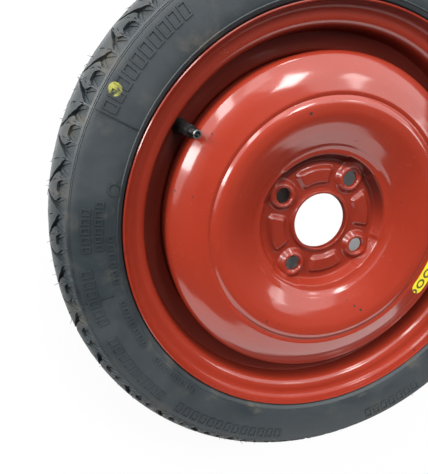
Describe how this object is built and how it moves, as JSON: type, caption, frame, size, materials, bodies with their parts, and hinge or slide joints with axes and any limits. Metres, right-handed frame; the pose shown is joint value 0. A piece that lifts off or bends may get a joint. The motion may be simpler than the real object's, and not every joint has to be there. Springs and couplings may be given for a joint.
{
  "type": "space saver spare wheel",
  "caption": "Temporary-use spare wheel: a narrow tyre on a painted, welded steel wheel with a pressed disc, hub bore, bolt circle and snap-in valve.",
  "frame": {"origin": "on the axle, in the plane of the hub face that bolts to the car", "axes": "+Z along the axle towards the street side, +X through the valve and one bolt hole"},
  "size_m": [0.512, 0.512, 0.1251],
  "materials": {
    "paint": "orange-red gloss paint with dust, scratches and small dark chips",
    "tyre": "grey-black rubber with tan road dirt",
    "rubber": "black moulded rubber",
    "brass": "dull, dirty brass",
    "steel": "bright spring wire",
    "label": null
  },
  "bodies": {
    "wheel": {"rim": "paint", "disc": "paint", "weld_beads": "paint", "tyre": "tyre", "valve_body": "rubber", "valve_stem": "brass", "core_plug": "brass", "core_barrel": "brass", "core_gasket": "rubber", "core_spring": "steel", "yellow_label": "label"},
    "valve_pin": {"core_pin": "brass", "core_cup": "brass", "cup_seal": "rubber"}
  },
  "joints": [
    {"name": "valve_pin_press", "type": "slide", "parent": "wheel", "child": "valve_pin", "axis": [0.2334, 0, -0.9724], "range_m": [0, 0.0012], "stiffness_N_per_m": 500, "springref_m": -0.0015, "deforming": ["core_spring"]}
  ]
}
